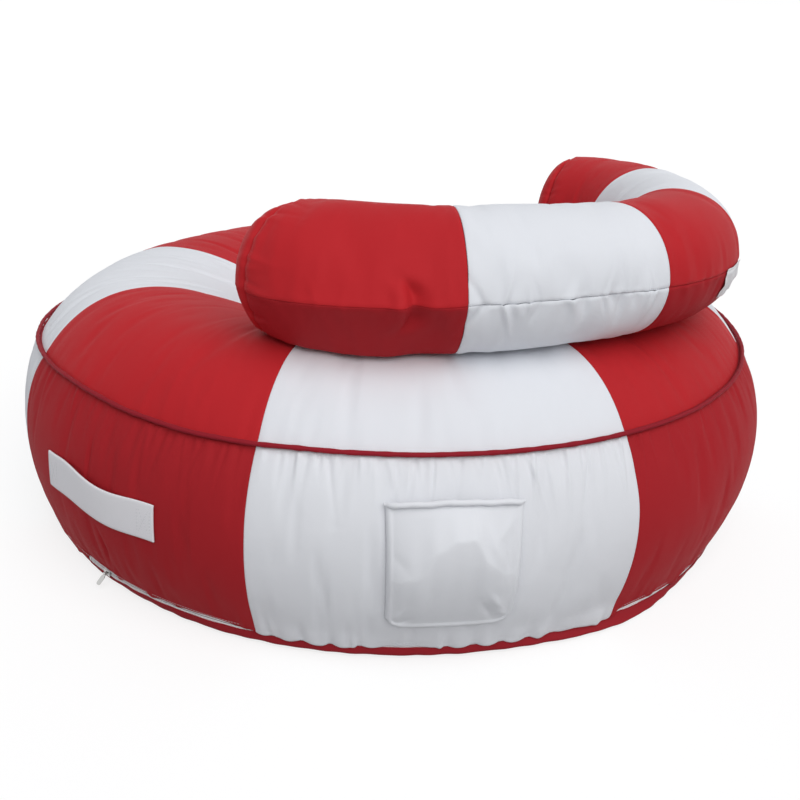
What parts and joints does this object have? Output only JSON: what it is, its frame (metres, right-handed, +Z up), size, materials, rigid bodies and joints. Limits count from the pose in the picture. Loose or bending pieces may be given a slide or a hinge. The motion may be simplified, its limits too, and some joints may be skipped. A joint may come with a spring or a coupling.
{
  "type": "inflatable pool lounger",
  "caption": "Round inflatable pool lounger with a dished seat, a horseshoe bolster, red and white sewn cloth covers, a side handle, a side pocket and a foot zip.",
  "frame": {"origin": "on the floor, at the middle of the flat underside of the round base", "axes": "+Z up, +Y towards the middle of the bolster behind the sitter, +X towards the handle"},
  "size_m": [1.1854, 1.172, 0.5256],
  "materials": {
    "red_cloth": "satin woven polyester, red",
    "white_cloth": "satin woven polyester, white",
    "piping_cloth": "matte dark red covered cord",
    "white_webbing": "smooth white webbing",
    "label_cloth": "plain white printed-label cloth, left blank",
    "zip_tape": "white knitted zip tape",
    "zip_coil": "white nylon coil",
    "nickel_plated_metal": "dull nickel plate",
    "clear_film": "thin milky clear film",
    "clear_valve_plastic": "soft clear valve plastic"
  },
  "bodies": {
    "lounger": {"top_panel_1": "red_cloth", "side_panel_1": "red_cloth", "top_panel_2": "white_cloth", "side_panel_2": "white_cloth", "top_panel_3": "red_cloth", "side_panel_3": "red_cloth", "top_panel_4": "white_cloth", "side_panel_4": "white_cloth", "top_panel_5": "red_cloth", "side_panel_5": "red_cloth", "top_panel_6": "white_cloth", "side_panel_6": "white_cloth", "top_panel_7": "red_cloth", "side_panel_7": "red_cloth", "top_panel_8": "white_cloth", "side_panel_8": "white_cloth", "seat_centre_patch": "red_cloth", "top_piping": "piping_cloth", "bottom_panel": "red_cloth", "handle_strap": "white_webbing", "pocket_panel": "white_cloth", "pocket_hem": "white_cloth", "zip_coil_upper": "zip_coil", "zip_tape_upper": "zip_tape", "zip_coil_lower": "zip_coil", "zip_tape_lower": "zip_tape", "zip_stop_closed": "nickel_plated_metal", "zip_stop_open": "nickel_plated_metal", "bolster_top_1": "red_cloth", "bolster_under_1": "red_cloth", "bolster_top_2": "white_cloth", "bolster_under_2": "white_cloth", "bolster_top_3": "red_cloth", "bolster_under_3": "red_cloth", "bolster_top_4": "white_cloth", "bolster_under_4": "white_cloth", "bolster_top_5": "red_cloth", "bolster_under_5": "red_cloth", "bolster_end_cap_right": "red_cloth", "anchor_strip_right": "red_cloth", "bolster_end_cap_left": "red_cloth", "anchor_strip_left": "red_cloth", "blank_label": "label_cloth", "base_bladder": "clear_film", "bolster_bladder": "clear_film", "bladder_tie_web": "clear_film", "base_valve": "clear_valve_plastic", "bolster_valve": "clear_valve_plastic"},
    "zip_slider_body": {"zip_slider": "nickel_plated_metal"},
    "zip_pull_body": {"zip_pull": "nickel_plated_metal"},
    "base_plug_body": {"base_valve_plug": "clear_valve_plastic"},
    "bolster_plug_body": {"bolster_valve_plug": "clear_valve_plastic"}
  },
  "joints": [
    {"name": "zip_slide", "type": "hinge", "parent": "lounger", "child": "zip_slider_body", "pos_m": [0, 0, 0.02], "axis": [0, 0, 1], "range_deg": [-3.9, 298.3]},
    {"name": "pull_swing", "type": "hinge", "parent": "zip_slider_body", "child": "zip_pull_body", "pos_m": [0.56037, -0.0441, 0.02], "axis": [-0.0785, -0.9969, 0], "range_deg": [-48, 100]},
    {"name": "base_plug_pull", "type": "slide", "parent": "lounger", "child": "base_plug_body", "axis": [0.9381, 0.2846, -0.1977], "range_m": [0, 0.0055]},
    {"name": "bolster_plug_pull", "type": "slide", "parent": "lounger", "child": "bolster_plug_body", "axis": [0.0115, -0.9999, 0], "range_m": [0, 0.0055]}
  ]
}
